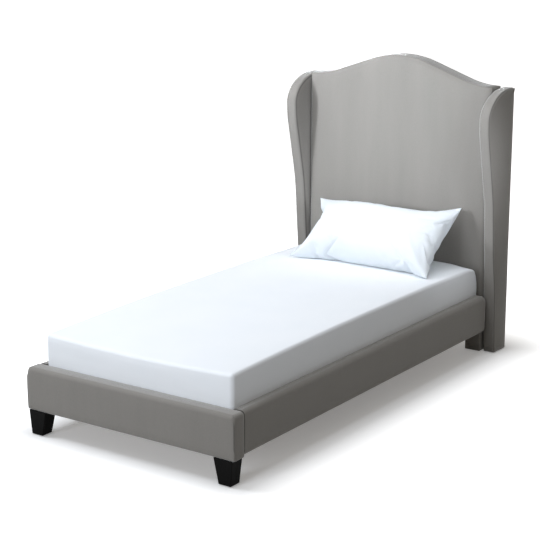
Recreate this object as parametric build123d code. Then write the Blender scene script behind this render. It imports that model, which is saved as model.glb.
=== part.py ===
from build123d import *
import os

# Single wingback bed: a camelback headboard between two full-height wings, padded
# side rails and foot rail, a sprung slat base, a mattress in a fitted sheet, a pillow.
# Millimetres. The origin is on the floor at the middle of the bed's plan, +Y points
# to the head end, +Z up. Left is -X, as seen by someone who stands at the foot end.

# Mattress and the well that it lies in
MATTRESS_WIDTH = 900
MATTRESS_LENGTH = 1900
MATTRESS_THICKNESS = 200
MATTRESS_CROWN = 14
MATTRESS_CORNER_RADIUS = 35
MATTRESS_TOP_RADIUS = 16
MATTRESS_BOTTOM_RADIUS = 16
MATTRESS_PLAY = 3
MATTRESS_SINK = 59
SHEET_THICKNESS = 1.2
SHEET_TUCK = 70

# Upholstery layers and fits
FABRIC = 1.5
FIT_GAP = 0.3
OVERRUN = 20

# Feet and glides
FOOT_HEIGHT = 102
FOOT_TOP_WIDTH = 86
FOOT_BOTTOM_SIZE = 56
FOOT_SIDE_INSET = 9
FOOT_TOE_OUT = 6
FOOT_FRONT_INSET = 0.5
FOOT_RAKE = 2
FOOT_EDGE_RADIUS = 3
FOOT_BOLT_DIAMETER = 8
FOOT_BOLT_REACH = 45
GLIDE_HEIGHT = 4
FOOT_GLIDE_DIAMETER = 38
HEAD_GLIDE_DIAMETER = 22

# Rails
RAIL_HEIGHT = 176
SIDE_RAIL_THICKNESS = 48
FOOT_RAIL_THICKNESS = 65
FOOT_RAIL_OVERHANG = 3
RAIL_BOARD_THICKNESS = 27
RAIL_PAD = 10
RAIL_EDGE_RADIUS = 18
FOOT_RAIL_LOW_RADIUS = 6
FOOT_RAIL_BACK_RADIUS = 4
RAIL_HEAD_CORNER_RADIUS = 38
RAIL_HEAD_LOW_RADIUS = 20
RAIL_COVER_TURN = 36

# Ledges and slats
LEDGE_WIDTH = 25
LEDGE_HEIGHT = 35
LEDGE_END_GAP = 4
LEDGE_SCREW_COUNT = 7
LEDGE_SCREW_DIAMETER = 4.5
LEDGE_SCREW_LENGTH = 45
LEDGE_SCREW_HEAD_DIAMETER = 9
LEDGE_SCREW_HEAD_HEIGHT = 3
SLAT_COUNT = 14
SLAT_WIDTH = 68
SLAT_THICKNESS = 8
SLAT_BOW = 12
SLAT_END_GAP = 5
CAP_LENGTH = 34
CAP_WALL = 3

# Corner brackets and their bolts
BRACKET_THICKNESS = 3
BRACKET_REACH = 60
BRACKET_HEIGHT = 50
BRACKET_LIFT = 6
# Shares of the height, and of each flange from the corner, where the bolts stand
BRACKET_BOLT_SHARES = [(0.25, 0.4), (0.75, 0.8)]
BOLT_DIAMETER = 8
BOLT_HEAD_WIDTH = 13
BOLT_HEAD_HEIGHT = 5.3
BRACKET_BOLT_LENGTH = 25
WASHER_DIAMETER = 24
WASHER_THICKNESS = 2

# Headboard
HEADBOARD_REACH = 25
SHOULDER_HEIGHT = 1222
CROWN_RISE = 113
CROWN_BEND = 77
HEADBOARD_EDGE_RADIUS = 24
HEADBOARD_OVERLAP = 40
HEADBOARD_FOAM = 50
HEADBOARD_TOP_PAD = 15
HEADBOARD_SIDE_PAD = 9.5
PLY_THICKNESS = 9
POST_WIDTH = 72
POST_THICKNESS = 40
BACK_PANEL_THICKNESS = 3
CROSS_RAIL_HEIGHT = 70
MIDDLE_RAIL_SHARE = 0.41
CROWN_RAIL_DROP = 92

# Wings
WING_THICKNESS = 62
WING_DROP = 4
WING_NOSE_DROP = 130
WING_DEPTH_AT_RAIL = 129
WING_TOE_SETBACK = 17
WING_PROJECTION = 109
WING_TOP_FLAT = 38
WING_BACK_CORNER_RADIUS = 14
WING_EDGE_RADIUS = 15
WING_CORE_THICKNESS = 24
WING_CORE_INSET = 16
# Shares of the height from rail top to nose, and of the projection, along the front edge
WING_FRONT_SHARES = [(0.27, 0.19), (0.52, 0.35), (0.77, 0.73)]
# Shares of the shoulder height where the wing bolts stand
WING_BOLT_SHARES = (0.35, 0.7, 0.87)

# Pillow
PILLOW_LENGTH = 765
PILLOW_DEPTH = 440
PILLOW_THICKNESS = 130
PILLOW_TILT = 29
PILLOW_SIDE_DRAW = 13
# Shares of the half length, of the thickness there and of the depth there
PILLOW_SHARES = [(0, 1, 0.955), (0.5, 0.93, 0.96), (0.8, 0.7, 0.975), (0.94, 0.42, 0.99), (1, 0.16, 1)]

QUARTER_TURN = 90

# Places worked out from the sizes above
skin = FABRIC + FIT_GAP
bed_length = FOOT_RAIL_THICKNESS + MATTRESS_LENGTH + 2 * MATTRESS_PLAY + WING_DEPTH_AT_RAIL
foot_front_y = -bed_length / 2
foot_back_y = foot_front_y + FOOT_RAIL_THICKNESS
rail_end_y = foot_back_y + MATTRESS_LENGTH + 2 * MATTRESS_PLAY
back_y = bed_length / 2
mattress_y = (foot_back_y + rail_end_y) / 2
rail_bottom_z = FOOT_HEIGHT
rail_top_z = FOOT_HEIGHT + RAIL_HEIGHT
rail_inner_x = MATTRESS_WIDTH / 2 + MATTRESS_PLAY
rail_outer_x = rail_inner_x + SIDE_RAIL_THICKNESS
board_inner_x = rail_inner_x + FABRIC
board_outer_x = board_inner_x + RAIL_BOARD_THICKNESS
foot_rail_half = rail_outer_x + FOOT_RAIL_OVERHANG
foot_board_back_y = foot_back_y - FABRIC
foot_board_front_y = foot_board_back_y - RAIL_BOARD_THICKNESS
foot_board_half = foot_rail_half - RAIL_EDGE_RADIUS
foot_top_x = foot_rail_half - FOOT_SIDE_INSET - FOOT_TOP_WIDTH / 2
foot_top_depth = FOOT_RAIL_THICKNESS - 2 * FOOT_FRONT_INSET
foot_top_y = foot_front_y + FOOT_RAIL_THICKNESS / 2
foot_bottom_x = foot_top_x + FOOT_TOE_OUT
foot_bottom_y = foot_top_y - FOOT_RAKE
board_bottom_z = rail_bottom_z + skin
board_top_z = rail_top_z - skin - RAIL_PAD

base_top_z = rail_top_z - MATTRESS_SINK
sheet_grow = SHEET_THICKNESS + FIT_GAP
mattress_bottom_z = base_top_z + sheet_grow
mattress_top_z = mattress_bottom_z + MATTRESS_THICKNESS
slat_top_z = base_top_z - FIT_GAP
slat_end_z = slat_top_z - SLAT_BOW
slat_half = rail_inner_x - SLAT_END_GAP
slat_pitch = MATTRESS_LENGTH / SLAT_COUNT
cap_bottom_z = slat_end_z - SLAT_THICKNESS - FIT_GAP - CAP_WALL
cap_top_z = slat_end_z + FIT_GAP + CAP_WALL
ledge_bottom_z = cap_bottom_z - LEDGE_HEIGHT
bracket_bottom_z = board_bottom_z + BRACKET_LIFT

head_front_y = rail_end_y + FIT_GAP
foam_front_y = head_front_y + skin
ply_front_y = foam_front_y + HEADBOARD_FOAM
post_front_y = ply_front_y + PLY_THICKNESS
post_back_y = post_front_y + POST_THICKNESS
head_back_y = post_back_y + BACK_PANEL_THICKNESS
pad_bottom_z = rail_top_z - HEADBOARD_OVERLAP
head_half = rail_inner_x + HEADBOARD_REACH
post_outer_x = head_half - HEADBOARD_SIDE_PAD
post_inner_x = post_outer_x - POST_WIDTH
post_x = (post_outer_x + post_inner_x) / 2
middle_rail_z = pad_bottom_z + MIDDLE_RAIL_SHARE * (SHOULDER_HEIGHT - pad_bottom_z)
crown_rail_z = SHOULDER_HEIGHT - CROWN_RAIL_DROP
wing_inner_x = head_half
wing_outer_x = wing_inner_x + WING_THICKNESS
wing_middle_x = (wing_inner_x + wing_outer_x) / 2
wing_bolt_y = (post_front_y + post_back_y) / 2
wing_top_z = SHOULDER_HEIGHT - WING_DROP
wing_nose_z = wing_top_z - WING_NOSE_DROP
wing_sweep = back_y - WING_TOP_FLAT - (head_front_y - WING_PROJECTION)


def block(x0, x1, y0, y1, z0, z1):
    """Box between two opposite corners."""
    middle = Pos((x0 + x1) / 2, (y0 + y1) / 2, (z0 + z1) / 2)
    return middle * Box(x1 - x0, y1 - y0, z1 - z0)


def rod(start, end, diameter):
    """Round bar between two points."""
    run = Vector(*end) - Vector(*start)
    return extrude(Plane(origin=start, z_dir=run) * Circle(diameter / 2), run.length)


def hex_bolt(start, end, diameter):
    """Bolt whose head sits on the near side of start and whose shank runs to end."""
    run = Vector(*end) - Vector(*start)
    seat = Plane(origin=start, z_dir=-run)
    hexagon = seat * RegularPolygon(BOLT_HEAD_WIDTH / 2, 6, major_radius=False)
    return extrude(hexagon, BOLT_HEAD_HEIGHT) + rod(start, end, diameter)


def hole(start, end, diameter):
    """Clearance hole round a bar between the same two points."""
    return rod(start, end, diameter + 2 * FIT_GAP)


def both_sides(right_piece):
    """A right-hand piece with its left-hand mirror image, by side name."""
    return {"left": mirror(right_piece, about=Plane.YZ), "right": right_piece}


def last_rims(piece, axis):
    """Edges of the face that lies furthest along an axis."""
    return piece.faces().sort_by(axis)[-1].edges()


def group(pieces):
    """Separate solids that share one node."""
    return Compound(children=[solid for piece in pieces for solid in piece.solids()])


# Headboard

def camel_curve(shoulder, crown):
    """Flat shoulder, bend, slope, round crown, and the same again on the other side."""
    crest, knee = Vector(CROWN_BEND, crown), Vector(head_half - CROWN_BEND, shoulder)
    bend = (knee - crest).normalized() * CROWN_BEND
    top, low = crest + bend, knee - bend
    right = Line(top, low) + TangentArc((head_half, shoulder), low, tangent=(-1, 0))
    return ThreePointArc((-top.X, top.Y), (0, crown), (top.X, top.Y)) + right + mirror(right, about=Plane.YZ)


def camel_panel(side_inset, top_inset, bottom, front, back, edge_radius=0):
    """Upright panel under the camelback curve, drawn in at its sides and top."""
    shoulder = SHOULDER_HEIGHT - top_inset
    crown = shoulder + CROWN_RISE
    half = head_half - side_inset
    sides = Polyline((head_half, shoulder), (head_half, bottom), (-head_half, bottom), (-head_half, shoulder))
    face = make_face(camel_curve(shoulder, crown) + sides)
    face = face & Pos(0, (bottom + crown) / 2) * Rectangle(2 * half, crown - bottom + OVERRUN)
    panel = extrude(Plane.XZ.offset(-back) * face, back - front)
    if edge_radius:
        panel = fillet(last_rims(panel, -Axis.Y).sort_by(Axis.Z)[1:], edge_radius)
    return panel


def wing_bolt_heights():
    """Z of each bolt between a post and its wing."""
    return [share * SHOULDER_HEIGHT for share in WING_BOLT_SHARES]


def wing_bolt_line(height):
    """Ends of a bolt that runs from a post's inner face into the right wing's core."""
    core_far_x = wing_middle_x + WING_CORE_THICKNESS / 2
    return (post_inner_x - WASHER_THICKNESS, wing_bolt_y, height), (core_far_x, wing_bolt_y, height)


def wing_bolt_holes():
    """Clearance for every right-hand wing bolt."""
    return [hole(*wing_bolt_line(height), BOLT_DIAMETER) for height in wing_bolt_heights()]


def headboard_post():
    """Right post: a deep leg below the padding, notched back above it."""
    leg = block(post_inner_x, post_outer_x, foam_front_y, post_back_y, GLIDE_HEIGHT, pad_bottom_z)
    upright = block(post_inner_x, post_outer_x, post_front_y, post_back_y, pad_bottom_z, crown_rail_z)
    return leg + upright - wing_bolt_holes() - bracket_bolt_holes()


def cross_rail(bottom):
    """Timber between the two posts."""
    return block(-post_inner_x, post_inner_x, post_front_y, post_back_y, bottom, bottom + CROSS_RAIL_HEIGHT)


def headboard_cover():
    """Fabric over the front, top and sides, open at the back and at the bottom."""
    outside = camel_panel(0, 0, pad_bottom_z, head_front_y, head_back_y, HEADBOARD_EDGE_RADIUS)
    inside = camel_panel(
        FABRIC, FABRIC, pad_bottom_z - OVERRUN, head_front_y + FABRIC, head_back_y + OVERRUN,
        HEADBOARD_EDGE_RADIUS - FABRIC)
    return outside - inside - both_sides_holes()


def headboard_foam():
    """Front slab that wraps over the timber's top and sides."""
    outside = camel_panel(skin, skin, pad_bottom_z, foam_front_y, post_back_y, HEADBOARD_EDGE_RADIUS - skin)
    pocket = camel_panel(
        HEADBOARD_SIDE_PAD - FIT_GAP, HEADBOARD_TOP_PAD - FIT_GAP, pad_bottom_z - OVERRUN,
        ply_front_y, post_back_y + OVERRUN)
    return outside - pocket - both_sides_holes()


def both_sides_holes():
    """Clearance for the wing bolts of both sides."""
    return [mirrored for piece in wing_bolt_holes() for mirrored in both_sides(piece).values()]


def leg_cover():
    """Fabric sleeve round the right leg, open at the top and at the floor."""
    outside = block(
        post_inner_x - skin, post_outer_x + skin, head_front_y, head_back_y, GLIDE_HEIGHT, pad_bottom_z)
    inside = block(
        post_inner_x - FIT_GAP, post_outer_x + FIT_GAP, head_front_y + FABRIC, post_back_y + FIT_GAP,
        GLIDE_HEIGHT - OVERRUN, pad_bottom_z + OVERRUN)
    return outside - inside - bracket_bolt_holes()


def headboard_pieces():
    """Timber frame, ply, foam, fabric, back panel and leg sleeves."""
    timber = (HEADBOARD_SIDE_PAD, HEADBOARD_TOP_PAD)
    pieces = {
        "headboard_bottom_rail": cross_rail(pad_bottom_z),
        "headboard_middle_rail": cross_rail(middle_rail_z),
        "headboard_crown_rail": camel_panel(*timber, crown_rail_z, post_front_y, post_back_y),
        "headboard_ply": camel_panel(*timber, pad_bottom_z, ply_front_y, post_front_y),
        "headboard_foam": headboard_foam(),
        "headboard_cover": headboard_cover(),
        "headboard_back_panel": camel_panel(skin, skin, pad_bottom_z, post_back_y, head_back_y),
    }
    for side, piece in both_sides(headboard_post()).items():
        pieces["headboard_post_" + side] = piece
    for side, piece in both_sides(leg_cover()).items():
        pieces["headboard_leg_cover_" + side] = piece
    return pieces


# Wings

def wing_outline(inset, bottom):
    """Side outline of a wing in Y and Z, drawn in by inset at its front, top and back."""
    front_y = rail_end_y + FIT_GAP + inset
    nose_y = front_y - WING_PROJECTION
    knee = (front_y, rail_top_z)
    rake = WING_TOE_SETBACK / rail_top_z
    toe = (front_y + rake * (rail_top_z - bottom), bottom)
    rise = wing_nose_z - rail_top_z
    between = [(front_y - out * WING_PROJECTION, rail_top_z + up * rise) for up, out in WING_FRONT_SHARES]
    front = Spline(knee, *between, (nose_y, wing_nose_z), tangents=[(-rake, 1), (0, 1)])
    sweep = wing_sweep - inset
    top_y, top_z = nose_y + sweep, wing_top_z - inset
    top = EllipticalCenterArc(
        (top_y, wing_nose_z), sweep, top_z - wing_nose_z, QUARTER_TURN, arc_size=QUARTER_TURN)
    back = back_y - inset
    rest = Polyline((top_y, top_z), (back, top_z), (back, bottom), toe, knee)
    face = make_face(front + top + rest)
    back_corner = face.vertices().sort_by(lambda v: v.X + v.Y)[-1]
    return fillet(back_corner, max(WING_BACK_CORNER_RADIUS - inset, FABRIC))


def wing_slab(thickness, inset, bottom):
    """Slab in the middle plane of the right wing, with the wing's outline drawn in by inset."""
    return extrude(Plane.YZ.offset(wing_middle_x) * wing_outline(inset, bottom), thickness / 2, both=True)


def wing_block(inset, bottom):
    """Right wing as one solid, drawn in by inset, with all rims but those at the floor rounded."""
    wing = wing_slab(WING_THICKNESS - 2 * inset, inset, bottom)
    side_faces = wing.faces().filter_by(Axis.X)
    rims = [edge for face in side_faces for edge in face.edges().sort_by(Axis.Z)[1:]]
    return fillet(rims, WING_EDGE_RADIUS - inset)


def wing_core():
    """Board that stiffens the right wing and carries its bolts."""
    return wing_slab(WING_CORE_THICKNESS, WING_CORE_INSET, GLIDE_HEIGHT) - wing_bolt_holes()


def wing_foam():
    """Foam all round the right wing's core."""
    pocket = wing_slab(WING_CORE_THICKNESS + 2 * FIT_GAP, WING_CORE_INSET - FIT_GAP, GLIDE_HEIGHT - OVERRUN)
    return wing_block(skin, GLIDE_HEIGHT) - pocket - wing_bolt_holes()


def wing_cover():
    """Fabric round the right wing, open at the floor."""
    return wing_block(0, GLIDE_HEIGHT) - wing_block(FABRIC, GLIDE_HEIGHT - OVERRUN) - wing_bolt_holes()


def wing_bolts():
    """Long bolts and washers that hold the right wing on its post."""
    pieces = []
    for height in wing_bolt_heights():
        start, end = wing_bolt_line(height)
        seat = (post_inner_x, wing_bolt_y, height)
        pieces.append(hex_bolt(start, end, BOLT_DIAMETER))
        pieces.append(rod(start, seat, WASHER_DIAMETER) - hole(start, end, BOLT_DIAMETER))
    return pieces


def wing_pieces():
    """Core, foam and fabric of both wings, and the bolts of both."""
    pieces = {}
    makers = {"wing_core_": wing_core(), "wing_foam_": wing_foam(), "wing_cover_": wing_cover()}
    for name, right_piece in makers.items():
        for side, piece in both_sides(right_piece).items():
            pieces[name + side] = piece
    pieces["wing_bolts"] = group([side for bolt in wing_bolts() for side in both_sides(bolt).values()])
    return pieces


# Side rails

def side_rail_slab(x0, x1, inset, low_inset):
    """Slab between two X places, drawn in by inset at top and head end, by low_inset elsewhere."""
    head, top = rail_end_y - inset, rail_top_z - inset
    foot, bottom = foot_back_y + low_inset, rail_bottom_z + low_inset
    outline = make_face(Polyline((foot, bottom), (head, bottom), (head, top), (foot, top), close=True))
    head_corner = outline.vertices().sort_by(lambda v: v.X + v.Y)[-1]
    outline = fillet(head_corner, RAIL_HEAD_CORNER_RADIUS - inset)
    low_corner = outline.vertices().sort_by(lambda v: v.X - v.Y)[-1]
    outline = fillet(low_corner, RAIL_HEAD_LOW_RADIUS - inset)
    return extrude(Plane.YZ.offset(x0) * outline, x1 - x0)


def side_rail_block(inset):
    """Right side rail as one solid, drawn in by inset, with the rims of its outside rounded."""
    outer_x = rail_outer_x - inset
    rail = side_rail_slab(rail_inner_x + inset, outer_x, inset, inset)
    rims = last_rims(rail, Axis.X)
    foot_rim = rims.sort_by(Axis.Y)[:1]
    return fillet(rims - foot_rim, RAIL_EDGE_RADIUS - inset)


def side_rail_board():
    """Load-bearing board of the right side rail."""
    board = side_rail_slab(board_inner_x, board_outer_x, skin + RAIL_PAD, skin)
    return board - bracket_bolt_holes() - ledge_screw_holes()


def side_rail_foam():
    """Foam on the outside, top and head end of the right side rail's board."""
    pocket = side_rail_slab(rail_inner_x, board_outer_x + FIT_GAP, FABRIC + RAIL_PAD, -OVERRUN)
    return side_rail_block(skin) - pocket


def side_rail_cover():
    """Fabric round the right side rail, turned over its top onto the inner face."""
    window = block(
        rail_inner_x - OVERRUN, board_inner_x, foot_back_y - OVERRUN, rail_end_y + OVERRUN,
        rail_bottom_z + FABRIC, rail_top_z - RAIL_COVER_TURN)
    return side_rail_block(0) - side_rail_block(FABRIC) - window


def ledge_screw_places():
    """Y places of the ledge screws, evenly spread."""
    pitch = (MATTRESS_LENGTH - 2 * LEDGE_END_GAP) / LEDGE_SCREW_COUNT
    first = mattress_y - pitch * (LEDGE_SCREW_COUNT - 1) / 2
    return [first + pitch * index for index in range(LEDGE_SCREW_COUNT)]


def ledge_screw_line(y):
    """Ends of a screw that runs through the right ledge into its board."""
    start_x = board_inner_x - LEDGE_WIDTH
    z = ledge_bottom_z + LEDGE_HEIGHT / 2
    return (start_x, y, z), (start_x + LEDGE_SCREW_LENGTH, y, z)


def ledge_screw_holes():
    """Clearance for every right-hand ledge screw."""
    return [hole(*ledge_screw_line(y), LEDGE_SCREW_DIAMETER) for y in ledge_screw_places()]


def ledge_screws():
    """Pan-head screws of the right ledge."""
    screws = []
    for y in ledge_screw_places():
        start, end = ledge_screw_line(y)
        head_top = (start[0] - LEDGE_SCREW_HEAD_HEIGHT, start[1], start[2])
        screws.append(rod(start, end, LEDGE_SCREW_DIAMETER) + rod(head_top, start, LEDGE_SCREW_HEAD_DIAMETER))
    return screws


def slat_ledge():
    """Batten on the right board that carries the slat caps."""
    foot, head = foot_back_y + LEDGE_END_GAP, rail_end_y - LEDGE_END_GAP
    inner_x = board_inner_x - LEDGE_WIDTH
    return block(inner_x, board_inner_x, foot, head, ledge_bottom_z, cap_bottom_z) - ledge_screw_holes()


def side_rail_pieces():
    """Board, foam, fabric and ledge of both side rails, and the ledge screws."""
    pieces = {}
    makers = {
        "side_rail_board_": side_rail_board(), "side_rail_foam_": side_rail_foam(),
        "side_rail_cover_": side_rail_cover(), "slat_ledge_": slat_ledge(),
    }
    for name, right_piece in makers.items():
        for side, piece in both_sides(right_piece).items():
            pieces[name + side] = piece
    pieces["ledge_screws"] = group([side for screw in ledge_screws() for side in both_sides(screw).values()])
    return pieces


# Foot rail and feet

def foot_rail_block(inset):
    """Foot rail as one solid, drawn in by inset: soft above and at its ends, crisper below and behind."""
    half = foot_rail_half - inset
    back = foot_back_y - inset
    rail = block(-half, half, foot_front_y + inset, back, rail_bottom_z + inset, rail_top_z - inset)
    crisp = last_rims(rail, -Axis.Z) + last_rims(rail, Axis.Y)
    rail = fillet(rail.edges() - crisp, RAIL_EDGE_RADIUS - inset)
    rail = fillet(last_rims(rail, -Axis.Z) - last_rims(rail, Axis.Y), FOOT_RAIL_LOW_RADIUS - inset)
    return fillet(last_rims(rail, Axis.Y), FOOT_RAIL_BACK_RADIUS - inset)


def foot_bolt_line():
    """Ends of the right foot's bolt, from inside the foot up into the rail's board."""
    y = (foot_board_front_y + foot_board_back_y) / 2
    return (foot_top_x, y, rail_bottom_z - FOOT_BOLT_REACH), (foot_top_x, y, rail_bottom_z + FOOT_BOLT_REACH)


def foot_bolt_holes():
    """Clearance for both foot bolts."""
    start, end = foot_bolt_line()
    return list(both_sides(hole(start, (end[0], end[1], end[2] + FIT_GAP), FOOT_BOLT_DIAMETER)).values())


def foot_rail_board():
    """Load-bearing board of the foot rail."""
    board = block(
        -foot_board_half, foot_board_half, foot_board_front_y, foot_board_back_y,
        board_bottom_z, board_top_z)
    board = fillet(last_rims(board, Axis.Y).sort_by(Axis.Z)[0], FOOT_RAIL_BACK_RADIUS)
    return board - foot_bolt_holes() - both_bracket_holes()


def foot_rail_foam():
    """Foam on the front, top and ends of the foot rail's board."""
    half = foot_board_half + FIT_GAP
    pocket = block(
        -half, half, foot_board_front_y, foot_back_y + OVERRUN,
        rail_bottom_z - OVERRUN, board_top_z + FIT_GAP)
    return foot_rail_block(skin) - pocket


def foot_rail_cover():
    """Fabric round the foot rail, open where the rail's back faces the slat base."""
    window = block(
        -board_inner_x, board_inner_x, foot_board_back_y, foot_back_y + OVERRUN,
        rail_bottom_z + FABRIC, rail_top_z - RAIL_COVER_TURN)
    return foot_rail_block(0) - foot_rail_block(FABRIC) - window - foot_bolt_holes()


def foot():
    """Right foot: a tapered block under the rail, with its edges eased."""
    bottom = Pos(foot_bottom_x, foot_bottom_y, GLIDE_HEIGHT) * Rectangle(FOOT_BOTTOM_SIZE, FOOT_BOTTOM_SIZE)
    top = Pos(foot_top_x, foot_top_y, rail_bottom_z) * Rectangle(FOOT_TOP_WIDTH, foot_top_depth)
    leg = loft([bottom, top], ruled=True)
    corners = leg.edges().filter_by(lambda e: e.bounding_box().size.Z > FOOT_HEIGHT / 2)
    return fillet(corners, FOOT_EDGE_RADIUS) - foot_bolt_holes()


def foot_glide():
    """Round glide under the right foot."""
    x, y = foot_bottom_x, foot_bottom_y
    return rod((x, y, 0), (x, y, GLIDE_HEIGHT), FOOT_GLIDE_DIAMETER)


def head_glides():
    """Round glides under the right leg and under both ends of the right wing."""
    leg_y = (foam_front_y + post_back_y) / 2
    core_front = rail_end_y + WING_TOE_SETBACK + WING_CORE_INSET
    core_back = back_y - WING_CORE_INSET
    places = [
        (post_x, leg_y), (wing_middle_x, core_front + HEAD_GLIDE_DIAMETER / 2),
        (wing_middle_x, core_back - HEAD_GLIDE_DIAMETER / 2)]
    return [rod((x, y, 0), (x, y, GLIDE_HEIGHT), HEAD_GLIDE_DIAMETER) for x, y in places]


def foot_pieces():
    """Foot rail, feet, glides and foot bolts."""
    pieces = {
        "foot_rail_board": foot_rail_board(),
        "foot_rail_foam": foot_rail_foam(),
        "foot_rail_cover": foot_rail_cover(),
        "foot_bolts": group(both_sides(rod(*foot_bolt_line(), FOOT_BOLT_DIAMETER)).values()),
        "foot_glides": group(both_sides(foot_glide()).values()),
        "head_glides": group([side for glide in head_glides() for side in both_sides(glide).values()]),
    }
    for side, piece in both_sides(foot()).items():
        pieces["foot_" + side] = piece
    return pieces


# Corner brackets

def bracket_bolt_lines():
    """Ends of the bolts of both right-hand brackets: one pair on each flange."""
    lines = []
    for corner_y, way in bracket_corners():
        flange_y = corner_y + way * BRACKET_THICKNESS
        for up, along in BRACKET_BOLT_SHARES:
            z = bracket_bottom_z + up * BRACKET_HEIGHT
            reach = along * BRACKET_REACH
            lines.append(((board_inner_x - BRACKET_THICKNESS, corner_y + way * reach, z), (1, 0, 0)))
            lines.append(((board_inner_x - reach, flange_y, z), (0, -way, 0)))
    return [(start, tuple(Vector(*start) + Vector(*run) * BRACKET_BOLT_LENGTH)) for start, run in lines]


def bracket_corners():
    """Y of each right-hand bracket's corner, and the way that its rail flange runs."""
    return [(foot_board_back_y, 1), (head_front_y, -1)]


def bracket_bolt_holes():
    """Clearance for the bolts of both right-hand brackets."""
    return [hole(start, end, BOLT_DIAMETER) for start, end in bracket_bolt_lines()]


def both_bracket_holes():
    """Clearance for the bracket bolts of both sides."""
    return [mirrored for piece in bracket_bolt_holes() for mirrored in both_sides(piece).values()]


def bracket(corner_y, way):
    """Right-hand steel angle that joins a side rail to the foot rail or to a leg."""
    inner_x = board_inner_x - BRACKET_THICKNESS
    top_z = bracket_bottom_z + BRACKET_HEIGHT
    flange_y = sorted((corner_y, corner_y + way * BRACKET_THICKNESS))
    rail_y = sorted((corner_y, corner_y + way * BRACKET_REACH))
    rail_flange = block(inner_x, board_inner_x, *rail_y, bracket_bottom_z, top_z)
    end_flange = block(board_inner_x - BRACKET_REACH, board_inner_x, *flange_y, bracket_bottom_z, top_z)
    return rail_flange + end_flange - bracket_bolt_holes()


def bracket_pieces():
    """Four angles and their bolts."""
    pieces = {}
    for end, (corner_y, way) in zip(("foot", "head"), bracket_corners()):
        for side, piece in both_sides(bracket(corner_y, way)).items():
            pieces["rail_bracket_" + end + "_" + side] = piece
    bolts = [hex_bolt(start, end, BOLT_DIAMETER) for start, end in bracket_bolt_lines()]
    pieces["rail_bolts"] = group([side for bolt in bolts for side in both_sides(bolt).values()])
    return pieces


# Slat base

def slat(y, grow=0):
    """Bowed slat across the bed at y, with its faces moved out by grow."""
    half = slat_half + grow
    end_top, mid_top = slat_end_z + grow, slat_top_z + grow
    end_low, mid_low = slat_end_z - SLAT_THICKNESS - grow, slat_top_z - SLAT_THICKNESS - grow
    band = make_face(
        ThreePointArc((-half, end_top), (0, mid_top), (half, end_top))
        + Line((half, end_top), (half, end_low))
        + ThreePointArc((half, end_low), (0, mid_low), (-half, end_low))
        + Line((-half, end_low), (-half, end_top)))
    return extrude(Plane.XZ.offset(-y) * band, SLAT_WIDTH / 2 + grow, both=True)


def slat_cap(y):
    """Right-hand moulded holder of one slat end, seated on the ledge."""
    outer_x = board_inner_x - FIT_GAP
    half_width = SLAT_WIDTH / 2 + FIT_GAP + CAP_WALL
    holder = block(outer_x - CAP_LENGTH, outer_x, y - half_width, y + half_width, cap_bottom_z, cap_top_z)
    top_edges = holder.edges().group_by(Axis.Z)[-1]
    return chamfer(top_edges, CAP_WALL / 3) - slat(y, FIT_GAP)


def slat_pieces():
    """Sprung slats and their caps."""
    pieces = {}
    caps = []
    first = mattress_y - slat_pitch * (SLAT_COUNT - 1) / 2
    for index in range(SLAT_COUNT):
        y = first + slat_pitch * index
        pieces[f"slat_{index + 1:02d}"] = slat(y)
        caps.append(slat_cap(y))
    pieces["slat_caps_left"] = group([both_sides(cap)["left"] for cap in caps])
    pieces["slat_caps_right"] = group(caps)
    return pieces


# Bedding

def mattress_block(grow):
    """Mattress with its faces moved out by grow: lower at its ends than in the middle."""
    foot, head = mattress_y - MATTRESS_LENGTH / 2 - grow, mattress_y + MATTRESS_LENGTH / 2 + grow
    bottom, top = mattress_bottom_z - grow, mattress_top_z + grow
    end_top = top - MATTRESS_CROWN
    side = make_face(
        ThreePointArc((foot, end_top), (mattress_y, top), (head, end_top))
        + Polyline((head, end_top), (head, bottom), (foot, bottom), (foot, end_top)))
    body = extrude(Plane.YZ * side, MATTRESS_WIDTH / 2 + grow, both=True)
    body = fillet(body.edges().filter_by(Axis.Z), MATTRESS_CORNER_RADIUS + grow)
    body = fillet(body.faces().sort_by(Axis.Z)[-1].edges(), MATTRESS_TOP_RADIUS + grow)
    return fillet(body.faces().sort_by(Axis.Z)[0].edges(), MATTRESS_BOTTOM_RADIUS + grow)


def fitted_sheet():
    """Sheet over the mattress, tucked a little way under it all round."""
    half_width = MATTRESS_WIDTH / 2 - SHEET_TUCK
    half_length = MATTRESS_LENGTH / 2 - SHEET_TUCK
    underside = block(
        -half_width, half_width, mattress_y - half_length, mattress_y + half_length,
        base_top_z - OVERRUN, mattress_bottom_z)
    return mattress_block(sheet_grow) - mattress_block(FIT_GAP) - underside


def pillow_section(x, thickness_share, depth_share):
    """Lens across the pillow at x."""
    half = PILLOW_DEPTH * depth_share / 2
    rise = PILLOW_THICKNESS * thickness_share / 2
    lens = make_face(
        ThreePointArc((-half, 0), (0, rise), (half, 0)) + ThreePointArc((half, 0), (0, -rise), (-half, 0)))
    return Plane.YZ.offset(x) * lens


def pillow():
    """Stuffed pillow with a crown and drawn-in sides, leaning on the headboard."""
    half = PILLOW_LENGTH / 2
    right = [pillow_section(half * along, thick, deep) for along, thick, deep in PILLOW_SHARES]
    left = [pillow_section(-half * along, thick, deep) for along, thick, deep in PILLOW_SHARES[:0:-1]]
    body = loft(left + right)
    radius = (PILLOW_DEPTH ** 2 / 4 + PILLOW_SIDE_DRAW ** 2) / (2 * PILLOW_SIDE_DRAW)
    scoop = Pos(half - PILLOW_SIDE_DRAW + radius, 0, 0) * Cylinder(radius, PILLOW_THICKNESS)
    body = Rot(PILLOW_TILT, 0, 0) * (body - list(both_sides(scoop).values()))
    box = body.bounding_box()
    back = rail_end_y - box.max.Y
    seat = mattress_top_z + sheet_grow + FIT_GAP - box.min.Z
    return Pos(0, back, seat) * body


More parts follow.
